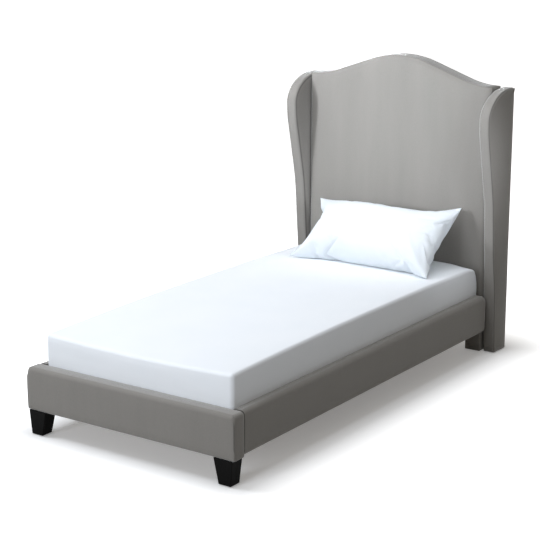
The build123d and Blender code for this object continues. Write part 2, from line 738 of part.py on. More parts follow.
def bedding_pieces():
    """Mattress, fitted sheet and pillow."""
    return {"mattress": mattress_block(0), "fitted_sheet": fitted_sheet(), "pillow": pillow()}


def main():
    os.makedirs("parts", exist_ok=True)
    pieces = {}
    for make in (headboard_pieces, wing_pieces, side_rail_pieces, foot_pieces,
                 bracket_pieces, slat_pieces, bedding_pieces):
        pieces.update(make())
    for node, shape in pieces.items():
        export_step(shape, f"parts/{node}.step")


main()
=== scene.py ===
import math

import bmesh
import bpy
from mathutils import Matrix, Vector, noise


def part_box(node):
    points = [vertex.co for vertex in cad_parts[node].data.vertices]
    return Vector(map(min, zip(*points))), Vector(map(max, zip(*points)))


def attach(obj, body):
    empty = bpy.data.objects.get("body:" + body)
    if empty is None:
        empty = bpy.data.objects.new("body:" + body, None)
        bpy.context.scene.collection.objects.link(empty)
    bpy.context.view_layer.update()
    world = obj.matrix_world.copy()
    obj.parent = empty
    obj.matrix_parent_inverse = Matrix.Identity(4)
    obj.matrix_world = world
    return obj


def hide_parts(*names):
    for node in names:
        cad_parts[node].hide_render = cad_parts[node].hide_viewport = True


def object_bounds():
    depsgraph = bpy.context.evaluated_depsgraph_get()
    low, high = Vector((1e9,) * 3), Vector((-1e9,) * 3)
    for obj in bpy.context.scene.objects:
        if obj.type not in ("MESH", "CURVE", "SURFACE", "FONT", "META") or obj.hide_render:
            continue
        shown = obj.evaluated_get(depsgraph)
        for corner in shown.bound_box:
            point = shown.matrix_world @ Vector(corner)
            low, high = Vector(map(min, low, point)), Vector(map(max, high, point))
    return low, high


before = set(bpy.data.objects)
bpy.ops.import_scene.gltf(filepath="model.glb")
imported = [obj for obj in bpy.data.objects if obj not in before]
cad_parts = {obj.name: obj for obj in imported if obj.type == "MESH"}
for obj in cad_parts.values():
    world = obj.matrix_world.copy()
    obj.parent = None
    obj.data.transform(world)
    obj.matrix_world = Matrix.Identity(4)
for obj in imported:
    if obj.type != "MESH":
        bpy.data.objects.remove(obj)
cad_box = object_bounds()

# Single wingback bed. Metres, +Z up, +Y to the head end, -X the left side.
FABRIC_WALL = 0.0013
PAD_WALL = 0.0085
SHEET_WALL = 0.0008

# Points closer than WELD become one. A face or an edge this near to its piece's side belongs to that side.
WELD = 0.00004
AT_FACE = 0.0001
AT_EDGE = 0.001
# Share of an edge's direction that makes it run along an axis
ALONG_AXIS = 0.9

# Ripples of the soft pieces: depth, size along each axis, seed
RIPPLES = {
    "headboard": (0.0012, (0.09, 1, 0.4), 3.1),
    "side_rail_face": (0.0010, (1, 0.22, 0.11), 8.0),
    "side_rail_top": (0.0007, (1, 0.12, 1), 4.0),
    "foot_rail_face": (0.0009, (0.17, 1, 0.10), 2.0),
    "foot_rail_top": (0.0007, (0.11, 1, 1), 6.0),
    "mattress_top": (0.0015, (0.25, 0.35, 1), 9.0),
    "sheet_foot": (0.0020, (0.10, 1, 0.045), 2.4),
    "sheet_flank": (0.0012, (1, 0.12, 0.3), 7.7)}

# Headboard: its camelback top as in the solid model, and its pad
CROWN_BEND = 0.077
CAMEL_START_Z = 0.72
SHOULDER_ABOVE_WINGS = 0.004
HEADBOARD_RIM = 0.024
HEADBOARD_BACK_LOOPS = (0.035, 0.012)
# How far its front is drawn in at the rims and again along the top, and over what length that fades
RIM_DRAW, RIM_FADE = 0.006, 0.04
TOP_DRAW, TOP_FADE = 0.007, 0.045
SMOOTH_RIM = 0.08
SLEEVE_EDGE_RADIUS = 0.003

# Wing's front edge, as in the solid model: shares of the rise and of the projection
WING_FRONT_SHARES = [(0, 0), (0.27, 0.19), (0.52, 0.35), (0.77, 0.73), (0.92, 0.965), (1, 1)]
WING_PROJECTION = 0.109
WING_NOSE_DROP = 0.130
WING_TOP_FLAT = 0.038
WING_TOE_SETBACK = 0.017
WING_BACK_CORNER = 0.014
# Rows of points up the wing's front, how many of them run level to the back, and rows round its top
WING_FRONT_ROWS = 40
WING_LEVEL_ROWS = 34
WING_TOP_ROWS = 16
WING_FLAT_ROWS = 3
SLOPE_STEP = 0.002
# Wing's pad: side that it faces, rim radius and seam column of its inner and its outer face; a seam gets a
# groove and painted shade
WING_FACES = ((-1, 0.017, 3), (1, 0.009, 2))
WING_RIM_ANGLES = (0, 18, 36, 54, 72, 90)
WING_RIM_LOOPS = (0.006, 0.016, 0.030)
WING_MIDDLE_COLUMNS = 3
WING_MIDDLE_DEPTH = 0.06
WING_NARROW_SHARE = 2.3
# The rim is tighter below the rail's top and grows to full over this height
LOW_RIM_SHARE = 0.45
LOW_RIM_RISE = 0.20
WING_DRAW, WING_FADE = 0.0028, 0.022
SEAM_DEPTH = 0.0014
SEAM_SHIFT = 0.0010
WING_RIPPLE = (0.0005, (1, 0.10, 0.25), 5.0)
WING_STRIP_REACH = 0.004

# Side rail's pad: radii at its head end, along its outer edges and inside its top, and loops of points
SIDE_HEAD_RADIUS = 0.038
SIDE_HEAD_LOW_RADIUS = 0.020
SIDE_RIM = 0.018
SIDE_INNER_RIM = 0.005
SIDE_COVER_TURN = 0.036
SIDE_UP_LOOPS = (0.022, 0.045, 0.068, 0.093, 0.118)
SIDE_IN_LOOPS = (0.012, 0.021)
SIDE_ROLL = 0.0035
# The outer face starts to give this far from the inner side, and gives fully this near the outer one
SIDE_FACE_START, SIDE_FACE_END = 0.010, 0.004
# Width of the painted shade on the side rail's end where it meets the foot rail, standing in for the shade in
# the slit between them, and half the step of its loops
SLIT_SHADE_WIDTH = 0.010
SLIT_STEP = 0.001

# Foot rail's pad: radii of its front and top, bottom and back edges
FOOT_RIM = 0.018
FOOT_LOW_RIM = 0.006
FOOT_BACK_RIM = 0.004
FOOT_IN_LOOPS = (0.032, 0.045)
FOOT_WINDOW_HALF = 0.452
FOOT_WINDOW_LOW = 0.006
FOOT_WINDOW_TOP = 0.030
FOOT_ROLL = 0.0030
FOOT_FACE_DEPTH = 0.02
# How square its mitred corners are, and between which depths under the top they turn round
CORNER_SQUARE = 0.72
CORNER_TURN = (0.045, 0.012)
# Painted shade along each mitred corner: half width of the line, and how dark it is
CORNER_SHADE_HALF = 0.0012
CORNER_SEAM_SHADE = 0.8
# Depth under a rail's top, and half width from its middle, where the top ripples
TOP_BAND = 0.004
TOP_BAND_HALF = 0.016

# Mattress and its sheet: radii of the upright, top and bottom edges
MATTRESS_RADII = (0.016, 0.013, 0.013)
SHEET_RADII = (0.0175, 0.0145, 0.0145)
MATTRESS_HALF_WIDTH = 0.45
SHEET_TUCK = 0.070
# How far the top falls from its middle to both ends, and dips at its foot and its head: depth and length
TOP_FALL = 0.014
FOOT_DIP, FOOT_DIP_LENGTH = 0.011, 0.10
HEAD_DIP, HEAD_DIP_LENGTH = 0.006, 0.05
SAG_START = 0.05
TICKING_SINK = 0.0004
# How far the sheet's elastic draws a head corner in, towards the foot and down, and how far it reaches
CORNER_PULL = (0.008, 0.032, 0.007)
CORNER_REACH = (0.16, 0.10, 0.13)
# The sheet's creases slant by these shares and keep clear of its edges
CREASE_SLANT = (0.9, 0.30)
CREASE_START = (0.03, 0.06)
CREASE_REACH = 0.05
CREASE_CLEAR = 0.02

# Pillow: its bag, filling and tilt
PILLOW_BAG = (0.815, 0.485)
PILLOW_TILT = 32
PILLOW_LOFT = 0.030
PILLOW_UNEVEN = (0.0010, (0.03, 0.03, 1), 1.0)
PILLOW_EDGE_SHARE = 0.999
PILLOW_SEAM_GAP = 0.0002
PILLOW_PRESSURE = 4.0
PILLOW_FRAMES = 26
# Places of the pillow's corners. Folds of its front: start and end as shares of its half sizes, height, width
PILLOW_CORNERS = {
    (-1, -1): (-0.334, 0.527, 0.426), (1, -1): (0.400, 0.530, 0.424),
    (-1, 1): (-0.386, 0.885, 0.632), (1, 1): (0.374, 0.897, 0.676)}
PILLOW_FOLDS = [
    ((0.70, 0.62), (0.46, 0.22), 0.0045, 0.017), ((0.46, 0.24), (0.60, -0.30), 0.0045, 0.017),
    ((0.58, -0.24), (0.90, -0.92), 0.0050, 0.015), ((-0.90, 0.90), (0.90, 0.86), -0.0045, 0.009),
    ((0.60, 0.30), (0.99, 0.50), -0.0050, 0.012), ((0.50, 0.56), (0.96, 0.68), 0.0035, 0.010),
    ((0.60, 0.74), (0.72, 0.98), -0.0030, 0.008), ((0.66, -0.20), (0.92, 0.04), 0.0040, 0.009),
    ((0.76, -0.26), (0.90, -0.78), -0.0040, 0.010), ((-0.66, -0.30), (-0.76, -0.92), 0.0040, 0.013),
    ((-0.48, -0.42), (-0.52, -0.95), -0.0035, 0.012), ((-0.34, -0.26), (-0.12, -0.88), 0.0040, 0.014),
    ((-0.12, -0.48), (0.10, -0.92), -0.0035, 0.012), ((0.20, -0.55), (0.34, -0.94), 0.0035, 0.012)]
# How far the pillow's left side, right side and top are drawn in between its corners
PILLOW_DRAW = (0.060, -0.006, 0.010)
# Left hem: shares of the half length and half depth where it starts and is full, and how far it stays out
HEM_ACROSS = (0.86, 1.0)
HEM_UP = (0.36, 0.70)
HEM_OUT = 0.004
# How much thinner the pillow's front gets towards its right end and its top: share, start and end
THIN_RIGHT = (0.42, -0.2, 0.9)
THIN_TOP = (0.38, 0.25, 1.0)
FOLD_START = 0.02
TOUCH_GAP = 0.001

# Wave texture at scale 1 repeats after about this length
WAVE_LENGTH = 0.32

# Studio lamps: name, place, aim, size, spread in degrees, power
LAMPS = [
    ("key", (-1.9, -1.6, 3.1), (0.0, 0.1, 0.5), 1.4, 180, 54),
    ("head_light", (-1.9, -2.0, 1.35), (0.08, 0.95, 1.32), 0.5, 40, 6.4),
    ("over_light", (0.0, -0.1, 3.4), (0.0, -0.1, 0.0), 2.2, 150, 27),
    ("card", (1.9, 0.3, 1.3), (-0.48, 0.85, 0.58), 0.35, 32, 0.95),
    ("front_fill", (-0.8, -8.5, 2.6), (0.0, 0.0, 0.7), 3.2, 180, 275)]
LAMP_COLOR = (0.89, 0.935, 1.0)
WORLD_FILL = 0.29
FILL_COLOR = (1, 0.955, 0.885, 1)
WHITE = (1, 1, 1, 1)
# Floor: its size, its tone for the light and for the eye, and its painted glow near the bed and away from it,
# which whitens the bed's shadow beyond a short reach
FLOOR_SIZE = 60
FLOOR_LIT_TONE = (0.45, 0.45, 0.45)
FLOOR_SEEN_TONE = (0.92, 0.92, 0.92)
FLOOR_PAINTED_GLOW = (0.20, 1.0)
FLOOR_PAINTED_GLOW_REACH = 0.30

# Camera of the photograph: place, turn from +Y, tilt down in degrees, and lens on a 36 mm sensor
CAMERA_PLACE = (3.58484, -5.26516, 2.17636)
CAMERA_TURN = 34.75
CAMERA_TILT = 14.59
CAMERA_LENS = 103.6
SENSOR_WIDTH = 36
CAMERA_REACH = 100


# Shape helpers

def along(points, x):
    """Smooth value at x through rising (x, value) points."""
    if x <= points[0][0]:
        return points[0][1]
    for index in range(len(points) - 1):
        (x0, v0), (x1, v1) = points[index], points[index + 1]
        if x <= x1:
            xa, va = points[max(index - 1, 0)]
            xb, vb = points[min(index + 2, len(points) - 1)]
            start = (v1 - va) / (x1 - xa)
            end = (vb - v0) / (xb - x0)
            t, run = (x - x0) / (x1 - x0), x1 - x0
            return (v0 * (1 + 2 * t) * (1 - t) ** 2 + start * run * t * (1 - t) ** 2
                    + v1 * t * t * (3 - 2 * t) + end * run * t * t * (t - 1))
    return points[-1][1]


def ease(low, high, x):
    """0 below low, 1 above high, smooth between."""
    t = min(max((x - low) / (high - low), 0), 1)
    return t * t * (3 - 2 * t)


def ripple(place, size, seed=0.0):
    """Soft random value from -1 to 1 that changes over size metres, which may differ by axis."""
    spread = Vector([place[axis] / size[axis] for axis in range(3)])
    return noise.noise(spread + Vector((seed, seed * 0.7, seed * 1.3)))


def dented(place, name):
    """Depth of a soft piece's ripples at a place."""
    depth, size, seed = RIPPLES[name]
    return depth * (1 + ripple(place, size, seed))


def block(low, high):
    """Box between two opposite corners."""
    bm = bmesh.new()
    bmesh.ops.create_cube(bm, size=1)
    bmesh.ops.scale(bm, vec=high - low, verts=bm.verts)
    bmesh.ops.translate(bm, vec=(low + high) / 2, verts=bm.verts)
    return bm


def edges_at(bm, test):
    """Edges whose middle and direction pass the test."""
    found = []
    for edge in bm.edges:
        a, b = (vert.co for vert in edge.verts)
        if test((a + b) / 2, (b - a).normalized()):
            found.append(edge)
    return found


def round_off(bm, edges, radius, segments):
    """Rounds edges with that many facets."""
    bmesh.ops.bevel(
        bm, geom=edges, offset=radius, offset_type="OFFSET", affect="EDGES", segments=segments,
        profile=0.5, material=-1, clamp_overlap=True)


def cut_across(bm, axis, places):
    """Adds a loop of edges where the piece crosses each place on an axis."""
    normal = Vector([float(index == axis) for index in range(3)])
    for place in places:
        geometry = bm.verts[:] + bm.edges[:] + bm.faces[:]
        bmesh.ops.bisect_plane(bm, geom=geometry, dist=WELD / 2, plane_co=normal * place, plane_no=normal)


def spread(start, end, count):
    """Evenly spaced places strictly between two ends."""
    return [start + (end - start) * (index + 1) / (count + 1) for index in range(count)]


def drop_faces(bm, test):
    """Deletes the faces whose middle and normal pass the test."""
    bmesh.ops.delete(
        bm, geom=[face for face in bm.faces if test(face.calc_center_median(), face.normal)],
        context="FACES")


def finish_piece(name, bm, body, material, wall=0.0, seam_shading=None):
    """Makes the object, shades it smooth, gives it a wall inwards, and hangs it on its body."""
    bmesh.ops.remove_doubles(bm, verts=bm.verts, dist=WELD)
    bmesh.ops.recalc_face_normals(bm, faces=bm.faces)
    # Painted shade along seams: a point attribute from 0 to 1 that the suede darkens by.
    if seam_shading:
        layer = bm.verts.layers.float.new("shaded_seam")
        for vert in bm.verts:
            vert[layer] = seam_shading(vert.co)
    mesh = bpy.data.meshes.new(name)
    bm.to_mesh(mesh)
    bm.free()
    mesh.polygons.foreach_set("use_smooth", [True] * len(mesh.polygons))
    mesh.materials.append(material)
    piece = bpy.data.objects.new(name, mesh)
    bpy.context.scene.collection.objects.link(piece)
    if wall:
        shell = piece.modifiers.new("wall", "SOLIDIFY")
        shell.thickness = wall
        shell.offset = -1
    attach(piece, body)
    return piece


# Node helpers

def node(tree, kind, inputs=None, **settings):
    """New shader node; an input is a value or another node's output."""
    made = tree.nodes.new("ShaderNode" + kind)
    for key, value in settings.items():
        setattr(made, key, value)
    for key, value in (inputs or {}).items():
        if isinstance(value, bpy.types.NodeSocket):
            tree.links.new(value, made.inputs[key])
        else:
            made.inputs[key].default_value = value
    return made


def start_material(name, color, roughness, **sockets):
    """Principled material with constant sockets, and its tree and shader."""
    material = bpy.data.materials.new(name)
    material.use_nodes = True
    tree = material.node_tree
    shader = tree.nodes["Principled BSDF"]
    shader.inputs["Base Color"].default_value = (*color, 1)
    shader.inputs["Roughness"].default_value = roughness
    for key, value in sockets.items():
        shader.inputs[key.replace("_", " ")].default_value = value
    return material, tree, shader


def mapped(tree, stretch=(1, 1, 1)):
    """Object coordinates, scaled."""
    place = node(tree, "TexCoord").outputs["Object"]
    return node(tree, "Mapping", {"Vector": place, "Scale": stretch}).outputs["Vector"]


def cloudy(tree, scale, stretch=(1, 1, 1), detail=3.0, roughness=0.5):
    """Noise from 0 to 1."""
    return node(tree, "TexNoise", {
        "Vector": mapped(tree, stretch), "Scale": scale, "Detail": detail,
        "Roughness": roughness}).outputs["Fac"]


def between(tree, value, low, high, at=(0.3, 0.7)):
    """Value from at[0] to at[1] spread from low to high."""
    return node(tree, "MapRange", {
        "Value": value, "From Min": at[0], "From Max": at[1],
        "To Min": low, "To Max": high}).outputs["Result"]


def blended(tree, share, first, second):
    """Color that goes from first to second as share goes from 0 to 1."""
    mix = node(tree, "Mix", {0: share}, data_type="RGBA")
    for index, color in ((6, first), (7, second)):
        if isinstance(color, bpy.types.NodeSocket):
            tree.links.new(color, mix.inputs[index])
        else:
            mix.inputs[index].default_value = (*color, 1)
    return mix.outputs[2]


def seen_directly(tree):
    """1 for rays from the camera, also through glass or off a gloss, and 0 for the light's own bounces."""
    path = node(tree, "LightPath")
    camera, gloss, glass = (path.outputs["Is %s Ray" % kind] for kind in ("Camera", "Glossy", "Transmission"))
    seen = node(tree, "Math", {0: camera, 1: gloss}, operation="ADD").outputs[0]
    return node(tree, "Math", {0: seen, 1: glass}, operation="ADD", use_clamp=True).outputs[0]


def raised(tree, height, distance, normal=None):
    """Bump of that height in metres, on top of another one."""
    bump = node(tree, "Bump", {"Height": height, "Distance": distance, "Strength": 1.0})
    if normal is not None:
        tree.links.new(normal, bump.inputs["Normal"])
    return bump.outputs["Normal"]


def wire(tree, shader, **outputs):
    """Links outputs to the shader's sockets by name."""
    for key, output in outputs.items():
        tree.links.new(output, shader.inputs[key.replace("_", " ")])


def weave(tree, pitch):
    """Crossing threads on all three pairs of axes, from 0 to 1."""
    threads = [node(tree, "TexWave", {
        "Vector": mapped(tree), "Scale": 0.5 / pitch * WAVE_LENGTH, "Distortion": 0.6, "Detail": 0.0},
        bands_direction=axis).outputs["Fac"] for axis in "XYZ"]
    pair = node(tree, "Math", {0: threads[0], 1: threads[1]}, operation="MULTIPLY").outputs[0]
    return node(tree, "Math", {0: pair, 1: threads[2]}, operation="ADD").outputs[0]


# Materials

def upholstery_suede():
    """Taupe faux suede: brushed nap with faint upright streaks, and painted shade along its seams."""
    base, dark, light = (0.215, 0.205, 0.190), (0.212, 0.201, 0.185), (0.238, 0.226, 0.208)
    nap_light, seam_painted_shade = (0.285, 0.271, 0.252), (0.085, 0.080, 0.073)
    material, tree, shader = start_material(
        "taupe_suede", base, 0.85, Sheen_Weight=1.0, Sheen_Roughness=0.36, Specular_IOR_Level=0.25)
    streaks = cloudy(tree, scale=9.0, stretch=(1.0, 1.0, 0.16), detail=4.0, roughness=0.55)
    nap = cloudy(tree, scale=260.0, stretch=(1.0, 1.0, 0.55), detail=2.0, roughness=0.6)
    tone = blended(tree, between(tree, streaks, low=0, high=1), dark, light)
    tone = blended(tree, between(tree, nap, low=0, high=0.22), tone, nap_light)
    # Painted shade: where a piece marks a seam, the fabric is darkened towards a near-black taupe, standing
    # in for the shade in the seam.
    shaded_seam = node(tree, "Attribute", attribute_name="shaded_seam").outputs["Fac"]
    tone = blended(tree, shaded_seam, tone, seam_painted_shade)
    rough = between(tree, streaks, low=0.76, high=0.9)
    normal = raised(tree, cloudy(tree, scale=900.0, detail=1.0), distance=0.0003)
    normal = raised(tree, weave(tree, pitch=0.0014), distance=0.00008, normal=normal)
    wire(tree, shader, Base_Color=tone, Roughness=rough, Normal=normal)
    return material


def cotton(name, light, shade):
    """Plain woven cotton with soft creases."""
    material, tree, shader = start_material(name, light, 0.75, Sheen_Weight=0.15)
    tone = blended(tree, between(tree, cloudy(tree, scale=5.0), low=0, high=1), light, shade)
    creases = cloudy(tree, scale=14.0, stretch=(1.0, 0.5, 1.0), detail=3.0, roughness=0.45)
    normal = raised(tree, creases, distance=0.0022)
    normal = raised(tree, weave(tree, pitch=0.0008), distance=0.00006, normal=normal)
    wire(tree, shader, Base_Color=tone, Normal=normal)
    return material


def ticking():
    """Mattress cloth with narrow woven stripes along the bed."""
    plain, ground, stripe = (0.78, 0.78, 0.76), (0.80, 0.80, 0.775), (0.42, 0.47, 0.53)
    slub = (0.6, 0.6, 0.6)
    material, tree, shader = start_material("mattress_ticking", plain, 0.8, Sheen_Weight=0.1)
    stripes = node(tree, "TexWave", {
        "Vector": mapped(tree), "Scale": 10.0, "Distortion": 0.0}, bands_direction="X").outputs["Fac"]
    line = between(tree, stripes, low=0, high=1, at=(0.86, 0.92))
    tone = blended(tree, line, ground, stripe)
    tone = blended(tree, between(tree, cloudy(tree, scale=300.0), low=0, high=0.15), tone, slub)
    wire(tree, shader, Base_Color=tone, Normal=raised(tree, weave(tree, pitch=0.001), distance=0.0001))
    return material


def timber(name, grain, light, dark):
    """Planed wood with its grain along one axis."""
    roughness = 0.55
    material, tree, shader = start_material(name, light, roughness)
    fibre_stretch = [0.06 if axis == grain else 1.0 for axis in "XYZ"]
    figure_stretch = [0.12 if axis == grain else 1.0 for axis in "XYZ"]
    fibre = cloudy(tree, scale=120.0, stretch=fibre_stretch, detail=5.0, roughness=0.6)
    figure = node(tree, "TexWave", {
        "Vector": mapped(tree, figure_stretch), "Scale": 7.0, "Distortion": 5.0, "Detail": 3.0,
        "Detail Scale": 1.2}, wave_type="RINGS", rings_direction="SPHERICAL").outputs["Fac"]
    tone = blended(tree, between(tree, figure, low=0, high=0.75, at=(0.1, 0.95)), light, dark)
    tone = blended(tree, between(tree, fibre, low=0, high=0.35), tone, dark)
    rough = between(tree, fibre, low=roughness - 0.08, high=roughness + 0.12)
    wire(tree, shader, Base_Color=tone, Roughness=rough, Normal=raised(tree, fibre, distance=0.0004))
    return material


def layered(name, across, pitch, light, dark):
    """Plywood or laminated slat: face veneer, with its layers showing on the edges."""
    material, tree, shader = start_material(name, light, 0.5)
    plies = node(tree, "TexWave", {
        "Vector": mapped(tree), "Scale": WAVE_LENGTH / pitch, "Distortion": 0.15},
        bands_direction=across).outputs["Fac"]
    fibre = cloudy(tree, scale=90.0, stretch=(0.05, 1.0, 1.0), detail=4.0, roughness=0.6)
    tone = blended(tree, between(tree, fibre, low=0, high=0.6), light, dark)
    normal = node(tree, "NewGeometry").outputs["Normal"]
    parts = node(tree, "SeparateXYZ", {0: normal}).outputs[across]
    flat = node(tree, "Math", {0: parts}, operation="ABSOLUTE").outputs[0]
    on_edge = between(tree, flat, low=0.8, high=0.0, at=(0.5, 0.8))
    edge = node(tree, "Math", {0: on_edge, 1: plies}, operation="MULTIPLY").outputs[0]
    tone = blended(tree, edge, tone, dark)
    wire(tree, shader, Base_Color=tone, Normal=raised(tree, fibre, distance=0.0002))
    return material


def black_stained_wood():
    """Near-black stain with an upright grain."""
    black, lighter = (0.0015, 0.0015, 0.0015), (0.004, 0.0038, 0.0035)
    material, tree, shader = start_material(
        "black_stained_wood", (0.004, 0.004, 0.004), 0.65, Specular_IOR_Level=0.05)
    grain = cloudy(tree, scale=80.0, stretch=(1.0, 1.0, 0.07), detail=4.0, roughness=0.6)
    tone = blended(tree, between(tree, grain, low=0, high=1), black, lighter)
    rough = between(tree, grain, low=0.5, high=0.7)
    wire(tree, shader, Base_Color=tone, Roughness=rough, Normal=raised(tree, grain, distance=0.0005))
    return material


def zinc_steel():
    """Zinc plating with its spangle."""
    material, tree, shader = start_material("zinc_steel", (0.55, 0.56, 0.57), 0.35, Metallic=1.0)
    spangle = node(tree, "TexVoronoi", {"Vector": mapped(tree), "Scale": 160.0}).outputs["Color"]
    tint = node(tree, "SeparateColor", {0: spangle}).outputs[0]
    tone = blended(tree, tint, (0.46, 0.47, 0.48), (0.62, 0.63, 0.64))
    rough = between(tree, cloudy(tree, scale=40.0), low=0.28, high=0.46)
    normal = raised(tree, cloudy(tree, scale=500.0), distance=0.00005)
    wire(tree, shader, Base_Color=tone, Roughness=rough, Normal=normal)
    return material


def black_plastic():
    """Moulded plastic with a fine grain."""
    dark, light = (0.015, 0.015, 0.016), (0.024, 0.024, 0.025)
    material, tree, shader = start_material("black_plastic", (0.018, 0.018, 0.019), 0.45)
    grain = cloudy(tree, scale=700.0, detail=2.0)
    tone = blended(tree, between(tree, cloudy(tree, scale=30.0), low=0, high=1), dark, light)
    rough = between(tree, grain, low=0.38, high=0.55)
    wire(tree, shader, Base_Color=tone, Roughness=rough, Normal=raised(tree, grain, distance=0.0001))
    return material


def black_lining():
    """Spun-bonded dust cloth with its pattern of welded dots."""
    dark, light = (0.014, 0.014, 0.015), (0.034, 0.034, 0.036)
    material, tree, shader = start_material("black_lining", (0.02, 0.02, 0.021), 0.85, Sheen_Weight=0.3)
    dots = node(tree, "TexVoronoi", {
        "Vector": mapped(tree), "Scale": 420.0, "Randomness": 0.15}, feature="F1").outputs["Distance"]
    fibres = cloudy(tree, scale=500.0, stretch=(1.0, 1.0, 0.3), detail=3.0)
    tone = blended(tree, between(tree, fibres, low=0, high=1), dark, light)
    normal = raised(tree, fibres, distance=0.0002, normal=raised(tree, dots, distance=0.0002))
    wire(tree, shader, Base_Color=tone, Normal=normal)
    return material


SUEDE = upholstery_suede()
COTTON = cotton("white_cotton", light=(0.88, 0.91, 0.945), shade=(0.86, 0.895, 0.935))
# Painted shade: the pillow's white cotton is made about a quarter darker than the sheet's, to tone down the
# strong light on the pillow.
SHADED_PILLOW_COTTON = cotton("pillow_cotton_painted_shade", light=(0.665, 0.70, 0.73), shade=(0.64, 0.68, 0.715))
TICKING = ticking()


# Headboard

def camel_lift(x, half, shoulder_rise):
    """Height of the camelback curve above the shoulder at x."""
    x = min(abs(x), half)
    slope = math.atan2(shoulder_rise, half - 2 * CROWN_BEND)
    radius = CROWN_BEND / math.tan(slope / 2)
    reach = radius * math.sin(slope)
    if x < reach:
        return shoulder_rise - radius + math.sqrt(radius ** 2 - x ** 2)
    if x > half - reach:
        return radius - math.sqrt(radius ** 2 - (half - x) ** 2)
    return shoulder_rise - (x - CROWN_BEND) * math.tan(slope)


def headboard_pad():
    """Smooth padded front, rolled over the camelback top and the sides, open at the back."""
    low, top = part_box("headboard_cover")
    half, front, back = top.x, low.y, top.y
    rise = top.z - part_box("wing_cover_right")[1].z - SHOULDER_ABOVE_WINGS
    shoulder = top.z - rise
    bm = block(Vector((-half, front, low.z)), Vector((half, back, shoulder)))
    front_rims = edges_at(bm, lambda mid, way: mid.y < front + AT_EDGE and mid.z > low.z + AT_EDGE)
    round_off(bm, front_rims, HEADBOARD_RIM, segments=7)
    cut_across(bm, 0, spread(-half + HEADBOARD_RIM, half - HEADBOARD_RIM, count=47))
    cut_across(bm, 2, spread(low.z, shoulder - HEADBOARD_RIM, count=31))
    cut_across(bm, 1, [back - depth for depth in HEADBOARD_BACK_LOOPS])
    drop_faces(bm, lambda mid, way: mid.y > back - AT_FACE or mid.z < low.z + AT_FACE)
    for vert in bm.verts:
        x, y, z = vert.co
        rim = min(half - abs(x), shoulder - z)
        faced = 1 - ease(front, front + HEADBOARD_RIM, y)
        vert.co.y += faced * RIM_DRAW * math.exp(-max(rim, 0) / RIM_FADE)
        vert.co.y += faced * TOP_DRAW * math.exp(-max(shoulder - z, 0) / TOP_FADE)
        vert.co.y += faced * dented(vert.co, "headboard") * ease(0, SMOOTH_RIM, rim)
        vert.co.z += camel_lift(x, half, rise) * ease(CAMEL_START_Z, shoulder - HEADBOARD_RIM, z)
    piece = finish_piece("headboard_upholstery", bm, "frame", SUEDE, PAD_WALL)
    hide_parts("headboard_cover", "headboard_foam")
    return piece


def leg_sleeve(side):
    """Fabric sleeve stapled round a headboard leg."""
    low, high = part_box("headboard_leg_cover_" + side)
    bm = block(low, high)
    round_off(bm, edges_at(bm, lambda mid, way: abs(way.z) > ALONG_AXIS), SLEEVE_EDGE_RADIUS, segments=2)
    cut_across(bm, 2, spread(low.z, high.z, count=5))
    drop_faces(bm, lambda mid, way: mid.z < low.z + AT_FACE or mid.z > high.z - AT_FACE)
    piece = finish_piece("headboard_leg_sleeve_" + side, bm, "frame", SUEDE, FABRIC_WALL)
    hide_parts("headboard_leg_cover_" + side)
    return piece


# Wings

def wing_front_y(z, front, rail_top, nose):
    """Y of the wing's front edge at a height."""
    if z < rail_top:
        return front + WING_TOE_SETBACK * (rail_top - z) / rail_top
    return front - WING_PROJECTION * along(WING_FRONT_SHARES, (z - rail_top) / (nose - rail_top))


def wing_rows(low, high, front, rail_top):
    """Outline points of a wing with their inward direction, and the matching points of its back."""
    nose = high.z - WING_NOSE_DROP
    nose_y = front - WING_PROJECTION
    sweep = high.y - WING_TOP_FLAT - nose_y
    corner = WING_BACK_CORNER

    def front_y(z):
        return wing_front_y(z, front, rail_top, nose)

    def round_back(turn):
        """Point and inward direction of the rounded back corner at an angle from straight up."""
        outward = Vector((0, math.sin(turn), math.cos(turn)))
        return Vector((0, high.y - corner, high.z - corner)) + corner * outward, -outward

    rows = []
    for index in range(WING_FRONT_ROWS):
        z = low.z + (nose - low.z) * index / WING_FRONT_ROWS
        slope = (front_y(z + SLOPE_STEP) - front_y(z - SLOPE_STEP)) / (2 * SLOPE_STEP)
        rows.append((Vector((0, front_y(z), z)), Vector((0, 1, -slope)).normalized()))
    for index in range(WING_TOP_ROWS):
        turn = math.pi / 2 * index / WING_TOP_ROWS
        place = Vector((0, nose_y + sweep * (1 - math.cos(turn)), nose + WING_NOSE_DROP * math.sin(turn)))
        inward = Vector((0, math.cos(turn) / sweep, -math.sin(turn) / WING_NOSE_DROP)).normalized()
        rows.append((place, inward))
    flat = high.y - corner - (nose_y + sweep)
    for index in range(WING_FLAT_ROWS):
        y = nose_y + sweep + flat * index / (WING_FLAT_ROWS - 1)
        rows.append((Vector((0, y, high.z)), Vector((0, 0, -1))))
    rows += [round_back(math.pi / 8), round_back(math.pi / 4)]

    backs = []
    fan_rows = len(rows) - 1 - WING_LEVEL_ROWS
    fan_z = low.z + (nose - low.z) * WING_LEVEL_ROWS / WING_FRONT_ROWS
    for index, (place, inward) in enumerate(rows):
        share = (index - WING_LEVEL_ROWS) / fan_rows
        z = place.z if share <= 0 else fan_z + share * (high.z - corner - fan_z)
        backs.append((Vector((0, high.y, z)), Vector((0, -1, 0))))
    backs[-2] = round_back(3 * math.pi / 8)
    backs[-1] = round_back(math.pi / 4)
    return rows, backs


